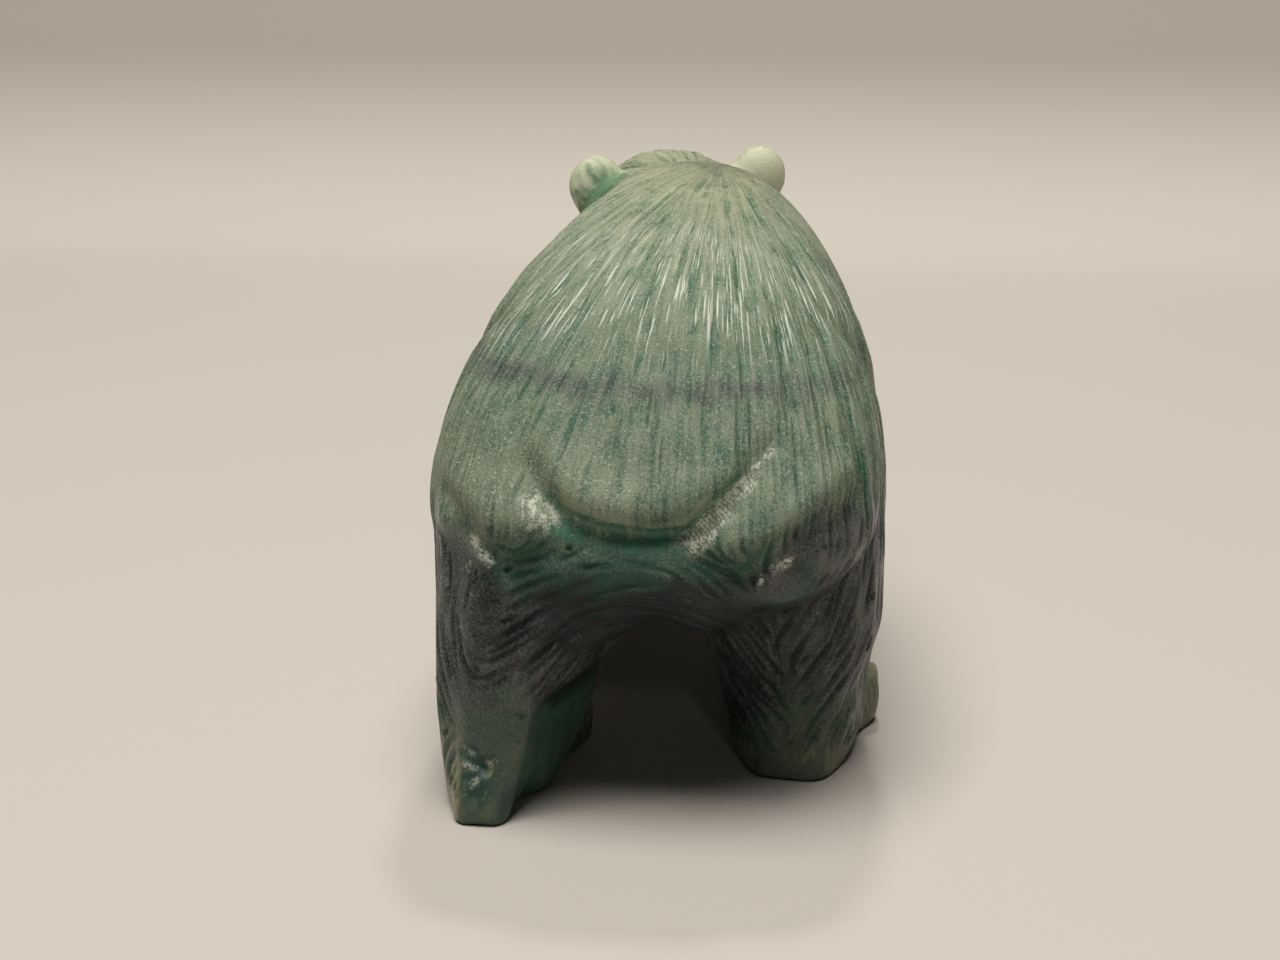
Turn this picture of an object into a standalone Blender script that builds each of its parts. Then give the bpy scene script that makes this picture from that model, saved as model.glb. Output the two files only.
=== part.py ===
"""A walking bear carved from one block of banded fluorite, standing on its four paws.

Sizes are in millimetres until the very end. The bear looks along -Y, its left side is +X, and +Z is up.
The origin is under the middle of the animal, on the surface that it stands on.
"""

import math

import bmesh
import bpy
import numpy as np
from mathutils import Matrix, Vector

MM = 0.001

# ---------------------------------------------------------------- driving sizes (mm)
NAME = "bear"
STONE_COLOUR = (0.16, 0.27, 0.21)
STONE_ROUGHNESS = 0.45

# How finely the skin is made, and how often each skin is rubbed smooth.
RING_POINTS = 48
RINGS_BETWEEN = 3
BODY_VOXEL = 0.55
BODY_RUBS = 10
FINE_VOXEL = 0.34
FINE_RUBS = 4
MOST_TRIANGLES = 9250
SOLE_SPARE = 0.35

# Body sections from rump to chest: y, middle x, half width, top, height of the widest point, bottom.
TORSO = [
    (38.2, 0.0, 5.0, 27.0, 24.0, 20.5),
    (37.0, 0.0, 11.0, 29.6, 24.0, 18.6),
    (34.0, -0.2, 15.2, 33.6, 24.0, 16.6),
    (30.0, -0.3, 17.5, 37.0, 24.0, 15.6),
    (25.0, -0.4, 18.3, 40.0, 24.5, 15.2),
    (18.0, -0.3, 18.6, 42.8, 25.0, 14.9),
    (8.0, -0.2, 18.2, 45.4, 25.5, 14.2),
    (-2.0, -0.3, 16.4, 47.2, 26.0, 13.9),
    (-10.0, -0.3, 13.9, 47.8, 27.0, 14.6),
    (-17.0, 1.0, 12.6, 46.2, 28.0, 17.0),
    (-22.0, 1.8, 9.2, 41.0, 29.0, 21.0),
    (-25.0, 2.2, 4.0, 34.5, 29.0, 25.5),
]
TORSO_SQUARENESS = 2.25
LEG_SQUARENESS = (2.5, 2.2)

# Legs as level slices from the trunk to the floor: z, x, y, half width, half length.
LEGS = {
    "hind_left": [
        (28.0, 9.0, 22.0, 6.5, 9.0),
        (23.0, 9.2, 24.5, 8.0, 11.0),
        (19.0, 8.8, 26.2, 8.5, 11.0),
        (16.0, 9.3, 27.2, 7.9, 10.4),
        (13.4, 10.0, 28.0, 7.2, 9.4),
        (11.0, 10.4, 28.4, 6.8, 8.8),
        (8.0, 10.4, 28.4, 6.8, 8.5),
        (4.5, 11.1, 28.0, 5.7, 8.4),
        (-1.0, 12.2, 27.6, 4.0, 8.2),
    ],
    "hind_right": [
        (28.0, -9.0, 17.0, 6.5, 9.0),
        (23.0, -10.0, 18.0, 8.6, 11.0),
        (19.0, -10.0, 19.0, 9.1, 10.8),
        (16.0, -10.2, 19.4, 8.9, 10.0),
        (13.4, -11.0, 19.5, 8.1, 9.2),
        (11.0, -11.5, 19.2, 7.4, 8.5),
        (8.0, -11.7, 18.4, 7.1, 8.0),
        (4.5, -11.8, 17.4, 6.3, 7.6),
        (-1.0, -11.5, 16.6, 4.8, 7.4),
    ],
    "front_left": [
        (32.0, 9.0, -8.5, 5.6, 7.6),
        (24.0, 10.2, -11.0, 6.6, 8.0),
        (16.0, 10.9, -14.6, 6.0, 6.8),
        (9.0, 11.3, -17.6, 5.2, 5.8),
        (4.0, 11.3, -19.2, 5.0, 6.0),
        (-1.0, 11.3, -19.2, 4.6, 5.8),
    ],
    "front_right": [
        (32.0, -9.0, -7.0, 5.6, 7.6),
        (24.0, -10.0, -6.6, 6.6, 8.0),
        (16.0, -10.4, -5.6, 6.0, 6.8),
        (9.0, -10.7, -5.0, 5.2, 5.8),
        (4.0, -10.7, -6.0, 5.0, 6.0),
        (-1.0, -10.7, -6.0, 4.6, 5.8),
    ],
}

# Paws: heel (x, y), toe tip (x, y), widths at the heel and across the toes, heights of the instep and toes.
PAWS = {
    "hind_left": ((12.4, 37.2), (11.5, 13.6), 5.2, 11.4, 8.6, 5.2),
    "hind_right": ((-11.4, 25.2), (-13.3, 5.6), 7.8, 12.0, 8.0, 5.6),
    "front_left": ((11.3, -12.5), (11.8, -28.5), 7.4, 10.4, 7.0, 3.8),
    "front_right": ((-10.7, 1.2), (-11.2, -14.8), 7.4, 10.4, 7.0, 3.8),
}
# Rounded corners of a paw's section, how deep it starts under the floor, and its run from heel to toes:
# share of the length, half width as a share of the width there, height as a share of the height there.
PAW_SQUARENESS = 2.4
PAW_UNDER_FLOOR = 1.2
PAW_HEEL = [(0.0, 0.30, 0.50), (0.05, 0.44, 0.80), (0.25, 0.56, 1.00)]
PAW_MIDDLE = (0.52, 0.48, 0.86)
PAW_TOES = [(0.76, 0.48, 1.2), (0.90, 0.42, 1.0)]
TOES = 5
TOE_PLUMPNESS = 0.58
TOE_LENGTH = 5.4
TOE_FAN_DEG = 5.0
TOE_BOW = 0.35
TOE_ROUNDNESS = 0.56
TOE_HEIGHT_UP = 0.42
CLAW_AT = (0.0, -2.5, 0.85)
CLAW_RADII = (0.62, 1.9, 0.8)
CLAW_DROOP_DEG = 18.0

# Haunches and shoulders: centre, radii.
MASSES = [
    ((9.3, 24.5, 24.0), (8.5, 12.4, 12.0)),
    ((-10.1, 18.0, 24.0), (9.0, 12.4, 12.0)),
    ((9.0, -9.0, 28.0), (7.2, 9.0, 12.5)),
    ((-8.8, -7.5, 28.0), (7.2, 9.0, 12.5)),
]

# Neck: centre, radius, from inside the shoulders to the back of the skull.
NECK = [((0.8, -8.0, 33.5), 12.6), ((2.8, -16.0, 36.4), 10.4), ((4.8, -22.5, 38.6), 8.6)]

# Head, in its own frame: x across, -y to the nose, z up, from the middle of the skull.
# The lumps are skull, forehead, cheeks, two of the muzzle, and jaw; the trim is nose pad, brows and chin.
HEAD_AT = (3.3, -24.4, 39.6)
HEAD_TURN_DEG = 26.0
HEAD_ROLL_DEG = 1.5
HEAD_LUMPS = [
    ((0.0, 0.0, 0.0), (8.8, 8.6, 8.0)),
    ((0.0, -3.6, 1.8), (6.8, 6.4, 5.8)),
    ((4.6, -2.2, -2.4), (4.5, 6.0, 5.0)),
    ((-4.6, -2.2, -2.4), (4.5, 6.0, 5.0)),
    ((0.0, -8.4, -1.8), (5.2, 5.2, 4.4)),
    ((0.0, -12.6, -2.4), (4.1, 4.6, 3.7)),
    ((0.0, -11.2, -5.4), (3.2, 5.0, 1.9)),
]
HEAD_TRIM = [
    ((0.0, -15.9, -0.8), (2.6, 1.7, 1.5)),
    ((3.6, -7.4, 3.0), (2.5, 2.0, 1.1)),
    ((-3.6, -7.4, 3.0), (2.5, 2.0, 1.1)),
    ((0.0, -12.6, -5.6), (2.2, 2.6, 1.2)),
]
EAR_AT = (8.8, 1.6, 4.8)
EAR_RADII = (3.0, 2.1, 3.2)

# Cuts seen from behind, as places (x, z) on the rump: path, reach to each side, depth. A minus depth swells.
# They are the groove round the tail, the tail's lip, the lower edge of each buttock, and the buttocks' swell.
RUMP_FROM_Y = (22.0, 26.0)
FACING_BACK = (0.05, 0.4)
RUMP_CUTS = [
    ([(8.4, 29.6), (6.3, 26.6), (3.6, 24.8), (-0.6, 24.3), (-4.9, 24.9), (-7.8, 27.3), (-10, 31)], 1.7, 1.2),
    ([(5.6, 29.0), (3.6, 27.7), (0.6, 27.0), (-1.9, 27.0), (-4.4, 27.8), (-6.4, 29.6)], 2.4, -0.55),
    ([(15.4, 26.2), (13.8, 24.9), (11.2, 23.3), (9.0, 21.6), (6.8, 22.7), (5.0, 23.2)], 1.5, 0.8),
    ([(-5.3, 22.9), (-7.9, 21.0), (-10.0, 22.0), (-12.9, 24.1), (-15.8, 25.4), (-17.4, 26.2)], 1.5, 0.85),
    ([(13.2, 27.6), (11.2, 26.2), (9.2, 24.8), (8.2, 26.0)], 2.4, -0.6),
    ([(-7.8, 24.6), (-10.0, 25.2), (-12.8, 27.0), (-15.0, 28.4)], 2.4, -0.6),
]

# Rubbed hollows under the right and the left buttock, and the chip in the left heel: middle, radii, depth.
HOLLOWS = [
    ((-12.2, 35.6, 20.6), (3.4, 4.0, 2.8), 1.1),
    ((13.6, 34.4, 21.4), (3.6, 5.0, 4.6), 0.8),
    ((11.9, 36.6, 5.0), (1.3, 1.6, 1.5), 0.6),
]

# Cuts along a path in space, for both sides of the body: behind the shoulder, and before the haunch.
SIDE_CUTS = [
    ([(14, 4, 41), (17, 3.4, 34), (17.6, 1.8, 27), (16.4, -0.4, 20), (14, -2.4, 16)], 3.6, 0.7),
    ([(15.4, 17, 38), (18.2, 13, 32), (18.4, 9.6, 25), (17, 8.6, 19), (14, 9, 16)], 3.6, 0.6),
]

# Flat faces that the left heel is ground to: a point on the face, its outward direction, top of the face.
GROUND_FACES = [
    ((8.1, 36.6, 8.9), (-0.921, 0.313, -0.232), 9.5),
    ((12.0, 36.9, 6.0), (0.16, 0.98, 0.08), 11.5),
]
FACE_FADE = 2.5
LEFT_HEEL_FROM_X = (0.5, 2.0)
LEFT_HEEL_FROM_Y = (14.0, 18.0)

# Locks of fur fan out from the whorl on the withers, each split in two beyond SPLIT_FROM to SPLIT_TO, and
# run in rings round the arch between the hind legs, whose axis is at (x, z). The whorl itself is bare.
WHORL = (-2.8, -9.0)
LOCKS_ROUND = 44
SPLIT_FROM = 23.0
SPLIT_TO = 29.0
LOCK_DEPTH = 0.32
LOCK_WANDER = 1.2
ARCH_AXIS = (-0.2, 10.6)
ARCH_LOCK_PITCH = 2.1
ARCH_LOCKS_END = (10.0, 13.0)
ARCH_LOCKS_FROM_Y = (16.0, 22.0)
ARCH_LOCKS_FROM_Z = (8.0, 12.0)
WHORL_BARE = (9.0, 16.0)

# Where the fur stops: from bare to furry behind the face, over the toes, round the ears, towards the belly,
# and from furry to bare where a rump cut is deep.
FUR_BEHIND_FACE = (-6.0, 0.0)
FUR_OVER_TOES = (4.0, 8.0)
FUR_ROUND_EARS = (3.4, 4.6)
FUR_TO_BELLY = (-0.7, -0.3)
FUR_STOPS_IN_CUT = (0.25, 0.7)

# Face, in the head's own frame: places on the +x side, repeated on the other.
EYE = ((4.2, -9.0, 0.7), 2.1, 1.0)
EYEBALL = ((4.2, -8.8, 0.5), 1.15, -1.0)
NOSTRIL = ((1.2, -17.4, -1.0), 0.7, 0.45)
EAR_CUP = ((8.9, -0.6, 5.0), (1.9, 1.6, 2.1), 1.2)
MIDLINE_FADE = 0.2
MOUTH = ([(0.0, -17.2, -4.2), (2.2, -15.9, -4.5), (3.6, -12.8, -4.9), (4.8, -9.2, -4.4)], 0.95, 0.7)
NOSE_EDGE = ([(0.0, -17.6, -3.0), (1.8, -17.0, -2.4), (2.7, -15.7, -1.0), (1.6, -14.9, 0.7)], 0.7, 0.25)


# ---------------------------------------------------------------- shaping tools
def clear_scene():
    for obj in list(bpy.data.objects):
        bpy.data.objects.remove(obj, do_unlink=True)


def smooth_rows(rows, steps):
    """Catmull-Rom rows between the rows of a table, so that a few stations give an even run of rings."""
    table = np.array(rows, float)
    ends = np.vstack([2 * table[0] - table[1], table, 2 * table[-1] - table[-2]])
    made = []
    for i in range(len(table) - 1):
        a, b, c, d = ends[i : i + 4]
        bend = 2 * a - 5 * b + 4 * c - d
        twist = 3 * b - a - 3 * c + d
        for t in np.arange(steps) / steps:
            made.append(0.5 * (2 * b + (c - a) * t + bend * t**2 + twist * t**3))
    made.append(table[-1])
    return [row.tolist() for row in made]


def new_object(name, mesh):
    obj = bpy.data.objects.new(name, mesh)
    bpy.context.scene.collection.objects.link(obj)
    return obj


def loft(name, rings):
    """A closed skin over a run of rings that all have the same number of points."""
    skin = bmesh.new()
    loops = [[skin.verts.new(p) for p in ring] for ring in rings]
    for low, high in zip(loops, loops[1:]):
        for i, vert in enumerate(low):
            after = (i + 1) % len(low)
            skin.faces.new((vert, low[after], high[after], high[i]))
    skin.faces.new(loops[0][::-1])
    skin.faces.new(loops[-1])
    bmesh.ops.recalc_face_normals(skin, faces=skin.faces)
    mesh = bpy.data.meshes.new(name)
    skin.to_mesh(mesh)
    skin.free()
    return new_object(name, mesh)


def lump(centre, radii, turn=Matrix()):
    """An ellipsoid, as a pinch of clay."""
    ball = bmesh.new()
    bmesh.ops.create_icosphere(ball, subdivisions=4, radius=1.0)
    ball.transform(turn @ Matrix.Translation(centre) @ Matrix.Diagonal((*radii, 1.0)))
    mesh = bpy.data.meshes.new("lump")
    ball.to_mesh(mesh)
    ball.free()
    return new_object("lump", mesh)


def power_wave(value, squareness):
    return math.copysign(abs(value) ** (2.0 / squareness), value)


def evaluated_copy(obj, name):
    """The object with its modifiers worked out, as a plain object. The first object is removed."""
    bpy.context.view_layer.update()
    graph = bpy.context.evaluated_depsgraph_get()
    mesh = bpy.data.meshes.new_from_object(obj.evaluated_get(graph))
    bpy.data.objects.remove(obj, do_unlink=True)
    mesh.name = name
    return new_object(name, mesh)


def fuse(parts, voxel, rubs):
    """Makes one skin of overlapping parts, and rubs its joints smooth."""
    joined = bmesh.new()
    for part in parts:
        joined.from_mesh(part.data)
        bpy.data.objects.remove(part, do_unlink=True)
    mesh = bpy.data.meshes.new("fused")
    joined.to_mesh(mesh)
    joined.free()
    obj = new_object("fused", mesh)
    remesh = obj.modifiers.new("one_skin", "REMESH")
    remesh.mode = "VOXEL"
    remesh.voxel_size = voxel
    rub = obj.modifiers.new("rub_smooth", "SMOOTH")
    rub.factor = 0.5
    rub.iterations = rubs
    return evaluated_copy(obj, "fused")


# ---------------------------------------------------------------- the bear's masses
def torso():
    rings = []
    for y, x, half_width, top, middle, bottom in smooth_rows(TORSO, RINGS_BETWEEN):
        ring = []
        for i in range(RING_POINTS):
            angle = math.tau * i / RING_POINTS
            side = power_wave(math.cos(angle), TORSO_SQUARENESS)
            up = power_wave(math.sin(angle), TORSO_SQUARENESS)
            reach = top - middle if up > 0 else middle - bottom
            ring.append((x + half_width * side, y, middle + reach * up))
        rings.append(ring)
    return loft("torso", rings)


def leg(stations):
    rings = []
    for z, x, y, half_width, half_length in smooth_rows(stations, RINGS_BETWEEN):
        ring = []
        for i in range(RING_POINTS):
            angle = math.tau * i / RING_POINTS
            across = half_width * power_wave(math.cos(angle), LEG_SQUARENESS[0])
            along = half_length * power_wave(math.sin(angle), LEG_SQUARENESS[1])
            ring.append((x + across, y + along, z))
        rings.append(ring)
    return loft("leg", rings)


def paw_frame(heel, tip):
    """Stands at the heel with -y to the toes, so that a paw is shaped pointing the way the bear looks."""
    run = Vector(tip) - Vector(heel)
    return Matrix.Translation((*heel, 0.0)) @ Matrix.Rotation(math.atan2(run.x, -run.y), 4, "Z"), run.length


def paw(heel, tip, heel_width, toe_width, height, toe_height):
    """The sole and the instep: a low wedge, narrow at the heel, that widens to the toes."""
    frame, length = paw_frame(heel, tip)
    stations = [(share, wide * heel_width, tall * height) for share, wide, tall in PAW_HEEL]
    share, wide, tall = PAW_MIDDLE
    stations.append((share, wide * (heel_width + toe_width) / 2, tall * height))
    stations += [(share, wide * toe_width, tall * toe_height) for share, wide, tall in PAW_TOES]
    rings = []
    for share, half_width, top in smooth_rows(stations, RINGS_BETWEEN):
        ring = []
        for i in range(RING_POINTS):
            angle = math.tau * i / RING_POINTS
            side = half_width * power_wave(math.cos(angle), PAW_SQUARENESS)
            up = power_wave(math.sin(angle), PAW_SQUARENESS)
            up *= top if up > 0 else PAW_UNDER_FLOOR
            ring.append(frame @ Vector((side, -length * share, up)))
        rings.append(ring)
    return loft("paw", rings)


def toes(heel, tip, heel_width, toe_width, height, toe_height):
    """A row of toes with a claw on each, fanned over the front of the paw."""
    frame, length = paw_frame(heel, tip)
    pitch = toe_width / TOES
    radii = (pitch * TOE_PLUMPNESS, TOE_LENGTH / 2, toe_height * TOE_ROUNDNESS)
    droop = Matrix.Rotation(math.radians(CLAW_DROOP_DEG), 4, "X")
    made = []
    for i in range(TOES):
        across = i - (TOES - 1) / 2
        fan = Matrix.Rotation(math.radians(-TOE_FAN_DEG * across), 4, "Z")
        forward = -length + TOE_LENGTH / 2 + TOE_BOW * across**2
        place = frame @ Matrix.Translation((pitch * across, forward, toe_height * TOE_HEIGHT_UP)) @ fan
        made.append(lump((0.0, 0.0, 0.0), radii, place))
        made.append(lump(CLAW_AT, CLAW_RADII, place @ droop))
    return made


def neck():
    """A round loft from inside the shoulders to the back of the skull, square to the line between them."""
    axis = (Vector(NECK[-1][0]) - Vector(NECK[0][0])).normalized()
    side = axis.cross(Vector((0, 0, 1))).normalized()
    up = side.cross(axis)
    rings = []
    for x, y, z, radius in smooth_rows([(*centre, radius) for centre, radius in NECK], RINGS_BETWEEN):
        ring = []
        for i in range(RING_POINTS):
            angle = math.tau * i / RING_POINTS
            ring.append(Vector((x, y, z)) + radius * (math.cos(angle) * side + math.sin(angle) * up))
        rings.append(ring)
    return loft("neck", rings)


def head_frame():
    turn = Matrix.Rotation(math.radians(HEAD_TURN_DEG), 4, "Z")
    roll = Matrix.Rotation(math.radians(HEAD_ROLL_DEG), 4, "Y")
    return Matrix.Translation(HEAD_AT) @ turn @ roll


def head():
    return [lump(centre, radii, head_frame()) for centre, radii in HEAD_LUMPS]


def head_trim():
    made = [lump(centre, radii, head_frame()) for centre, radii in HEAD_TRIM]
    for side in (1, -1):
        x, y, z = EAR_AT
        made.append(lump((side * x, y, z), EAR_RADII, head_frame()))
    return made


def masses():
    return [lump(centre, radii) for centre, radii in MASSES]


# ---------------------------------------------------------------- carving
def bell(share):
    """One at the middle of a cut and nothing at its edge, with no corner at either."""
    return (1.0 - np.clip(share, 0.0, 1.0) ** 2) ** 2


def ramp(values, start, end):
    return np.clip((values - start) / (end - start), 0.0, 1.0)


def distance_to_path(places, path):
    """Distance from each place to a path drawn smoothly through its points, flat or in space."""
    points = np.array(smooth_rows(path, 4))
    nearest = np.full(len(places), np.inf)
    for start, end in zip(points, points[1:]):
        run = end - start
        share = np.clip((places - start) @ run / (run @ run), 0.0, 1.0)
        nearest = np.minimum(nearest, np.linalg.norm(places - start - share[:, None] * run, axis=1))
    return nearest


def rump_depth(points, normals):
    behind = ramp(normals[:, 1], *FACING_BACK) * ramp(points[:, 1], *RUMP_FROM_Y)
    depth = np.zeros(len(points))
    for path, reach, cut in RUMP_CUTS:
        depth += cut * bell(distance_to_path(points[:, [0, 2]], path) / reach)
    return depth * behind


def hollow_depth(points, centre, radii, cut):
    return cut * bell(np.linalg.norm((points - np.array(centre)) / np.array(radii), axis=1))


def side_depth(points):
    """The cuts along the body's sides, each made on the left and on the right."""
    depth = np.zeros(len(points))
    for side in (1, -1):
        mirrored = points * (side, 1, 1)
        for path, reach, cut in SIDE_CUTS:
            depth += cut * bell(distance_to_path(mirrored, path) / reach)
    return depth


def in_head_frame(points):
    back = np.array(head_frame().inverted())
    return points @ back[:3, :3].T + back[:3, 3]


def face_depth(points):
    """Eyes, nostrils, mouth, edge of the nose pad and the cups of the ears."""
    local = in_head_frame(points)
    depth = np.zeros(len(points))
    for side in (1, -1):
        mirrored = local * (side, 1, 1)
        for centre, radius, cut in (EYE, EYEBALL, NOSTRIL):
            depth += hollow_depth(mirrored, centre, (radius,) * 3, cut)
        depth += hollow_depth(mirrored, *EAR_CUP)
        on_this_side = ramp(mirrored[:, 0], -MIDLINE_FADE, MIDLINE_FADE)
        for path, reach, cut in (MOUTH, NOSE_EDGE):
            depth += cut * bell(distance_to_path(mirrored, path) / reach) * on_this_side
    return depth


def furry_share(points, normals, cut_depth):
    """Where fur is carved: not on the face, ears, toes, soles and belly, nor in the rubbed cuts."""
    local = in_head_frame(points)
    on_one_side = np.column_stack([np.abs(local[:, 0]), local[:, 1:]])
    from_ear = np.linalg.norm(on_one_side - EAR_AT, axis=1)
    share = ramp(local[:, 1], *FUR_BEHIND_FACE) * ramp(points[:, 2], *FUR_OVER_TOES)
    share *= ramp(from_ear, *FUR_ROUND_EARS) * ramp(normals[:, 2], *FUR_TO_BELLY)
    return share * (1.0 - ramp(np.abs(cut_depth), *FUR_STOPS_IN_CUT))


def flute(phase):
    return 0.5 + 0.5 * np.cos(phase)


def lock_depth(points, normals):
    """Shallow flutes: straight out from the whorl on most of the body, and in rings round the arch."""
    away = points[:, :2] - np.array(WHORL)
    radius = np.hypot(away[:, 0], away[:, 1])
    angle = np.arctan2(away[:, 0], away[:, 1])
    wander = LOCK_WANDER * (np.sin(7.0 * angle + 0.9) + np.sin(13.0 * angle + 0.12 * radius))
    whole = flute(LOCKS_ROUND * angle + wander)
    halves = flute(2 * LOCKS_ROUND * angle + wander)
    fan = whole + (halves - whole) * ramp(radius, SPLIT_FROM, SPLIT_TO)
    fan *= ramp(radius, *WHORL_BARE)

    from_arch = np.hypot(points[:, 0] - ARCH_AXIS[0], points[:, 2] - ARCH_AXIS[1])
    round_arch = ramp(normals[:, 1], *FACING_BACK) * ramp(points[:, 1], *ARCH_LOCKS_FROM_Y)
    round_arch *= (1.0 - ramp(from_arch, *ARCH_LOCKS_END)) * ramp(points[:, 2], *ARCH_LOCKS_FROM_Z)
    rings = flute(math.tau * from_arch / ARCH_LOCK_PITCH)
    return LOCK_DEPTH * ((1.0 - round_arch) * fan + round_arch * rings)


def grind_flat(points):
    """Brings what stands proud of each ground face back to it, and fades out above the face's top."""
    for on_face, outward, top in GROUND_FACES:
        normal = np.array(outward) / np.linalg.norm(outward)
        proud = np.maximum((points - np.array(on_face)) @ normal, 0.0)
        here = ramp(points[:, 0], *LEFT_HEEL_FROM_X) * ramp(points[:, 1], *LEFT_HEEL_FROM_Y)
        here *= 1.0 - ramp(points[:, 2], top, top + FACE_FADE)
        points -= (proud * here)[:, None] * normal
    return points


def carve(obj):
    """Moves each point of the skin along its normal by the depth of every cut."""
    mesh = obj.data
    points = np.empty(len(mesh.vertices) * 3)
    mesh.vertices.foreach_get("co", points)
    points = points.reshape(-1, 3)
    normals = np.empty(len(mesh.vertices) * 3)
    mesh.vertex_normals.foreach_get("vector", normals)
    normals = normals.reshape(-1, 3)

    rump = rump_depth(points, normals)
    depth = rump + side_depth(points) + face_depth(points)
    for centre, radii, cut in HOLLOWS:
        depth += hollow_depth(points, centre, radii, cut)
    depth += lock_depth(points, normals) * furry_share(points, normals, rump)
    points = grind_flat(points - depth[:, None] * normals)
    mesh.vertices.foreach_set("co", points.ravel())
    mesh.update()


# ---------------------------------------------------------------- finishing
def cut_level(obj, height):
    """Cuts everything under the height off, and closes the cut, so that the paws stand flat."""
    cut = bmesh.new()
    cut.from_mesh(obj.data)
    everything = cut.verts[:] + cut.edges[:] + cut.faces[:]
    level = Vector((0, 0, height))
    bmesh.ops.bisect_plane(cut, geom=everything, plane_co=level, plane_no=(0, 0, -1), clear_outer=True)
    rims = [edge for edge in cut.edges if edge.is_boundary]
    bmesh.ops.triangle_fill(cut, edges=rims, use_beauty=True, use_dissolve=False)
    bmesh.ops.triangulate(cut, faces=cut.faces)
    bmesh.ops.recalc_face_normals(cut, faces=cut.faces)
    cut.to_mesh(obj.data)
    cut.free()


def fewer_faces(obj, most):
    thin = obj.modifiers.new("fewer_faces", "DECIMATE")
    thin.ratio = most / sum(len(face.vertices) - 2 for face in obj.data.polygons)
    return evaluated_copy(obj, NAME)


def stand_at_origin(obj):
    """Puts the origin under the middle of the bear's bounds, and turns millimetres to metres."""
    points = np.array([v.co for v in obj.data.vertices])
    low, high = points.min(0), points.max(0)
    middle = (low + high) / 2
    obj.data.transform(Matrix.Scale(MM, 4) @ Matrix.Translation((-middle[0], -middle[1], -low[2])))


def stone():
    material = bpy.data.materials.new("fluorite")
    material.use_nodes = True
    shader = material.node_tree.nodes["Principled BSDF"]
    shader.inputs["Base Color"].default_value = (*STONE_COLOUR, 1.0)
    shader.inputs["Roughness"].default_value = STONE_ROUGHNESS
    return material


def main():
    clear_scene()
    parts = [torso(), neck(), *masses(), *head()]
    parts += [leg(stations) for stations in LEGS.values()]
    parts += [paw(*sizes) for sizes in PAWS.values()]
    body = fuse(parts, BODY_VOXEL, BODY_RUBS)
    trims = head_trim()
    for sizes in PAWS.values():
        trims += toes(*sizes)
    body = fuse([body, *trims], FINE_VOXEL, FINE_RUBS)
    carve(body)
    cut_level(body, -SOLE_SPARE)
    bear = fewer_faces(body, MOST_TRIANGLES)
    cut_level(bear, 0.0)
    stand_at_origin(bear)
    bear.data.materials.clear()
    bear.data.materials.append(stone())
    bear.data.shade_smooth()


main()
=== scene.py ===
"""The fluorite bear's finish: a small bear cut from one block of banded green and purple fluorite.

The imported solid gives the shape, with its paws and claws. This script rubs it smooth, cuts the face and the
fur into it, and gives it the stone's colours. Lengths are in millimetres while the stone is worked, and in
metres from then on.
"""

import math
import random

import bmesh
import bpy
import numpy as np
from mathutils import Matrix, Vector, noise
from mathutils.bvhtree import BVHTree


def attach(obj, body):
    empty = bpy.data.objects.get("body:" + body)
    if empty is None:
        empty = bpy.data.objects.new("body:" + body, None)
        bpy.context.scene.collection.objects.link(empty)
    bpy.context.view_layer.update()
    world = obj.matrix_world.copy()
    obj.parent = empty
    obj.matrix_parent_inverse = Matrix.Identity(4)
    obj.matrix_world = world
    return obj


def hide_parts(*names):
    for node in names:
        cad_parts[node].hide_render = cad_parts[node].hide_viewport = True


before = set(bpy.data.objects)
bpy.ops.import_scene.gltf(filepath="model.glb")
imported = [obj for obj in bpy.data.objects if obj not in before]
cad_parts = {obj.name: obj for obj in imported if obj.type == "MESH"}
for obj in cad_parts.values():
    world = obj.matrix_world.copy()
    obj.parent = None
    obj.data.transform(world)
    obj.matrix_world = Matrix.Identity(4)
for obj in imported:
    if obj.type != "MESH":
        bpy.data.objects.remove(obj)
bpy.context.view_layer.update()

# ---------------------------------------------------------------- the bear, ground to shape
# One block of fluorite, sawn and ground to a walking bear. The faceted solid is subdivided and given an even
# skin, then rubbed until no facet shows. The soles stay flat on the surface that the bear stands on.
MM = 0.001
WELD = 1e-6
GROUND_SKIN = 0.2
GROUND_RUBS = 12
RUB_SHARE = 0.5


def worked(obj, name):
    """The object with its modifiers worked out, as a plain object. The first object is removed."""
    bpy.context.view_layer.update()
    graph = bpy.context.evaluated_depsgraph_get()
    mesh = bpy.data.meshes.new_from_object(obj.evaluated_get(graph))
    bpy.data.objects.remove(obj, do_unlink=True)
    mesh.name = name
    made = bpy.data.objects.new(name, mesh)
    bpy.context.scene.collection.objects.link(made)
    return made


def ground_bear():
    loose = bmesh.new()
    loose.from_mesh(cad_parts["bear"].data)
    bmesh.ops.remove_doubles(loose, verts=loose.verts, dist=WELD)
    loose.transform(Matrix.Scale(1 / MM, 4))
    mesh = bpy.data.meshes.new("bear_carving")
    loose.to_mesh(mesh)
    loose.free()
    block = bpy.data.objects.new("bear_carving", mesh)
    bpy.context.scene.collection.objects.link(block)
    rounder = block.modifiers.new("rounder", "SUBSURF")
    rounder.levels = rounder.render_levels = 1
    skin = block.modifiers.new("even_skin", "REMESH")
    skin.mode = "VOXEL"
    skin.voxel_size = GROUND_SKIN
    rub = block.modifiers.new("rub_smooth", "SMOOTH")
    rub.factor = RUB_SHARE
    rub.iterations = GROUND_RUBS
    return worked(block, "bear_carving")


bear = ground_bear()

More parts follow.
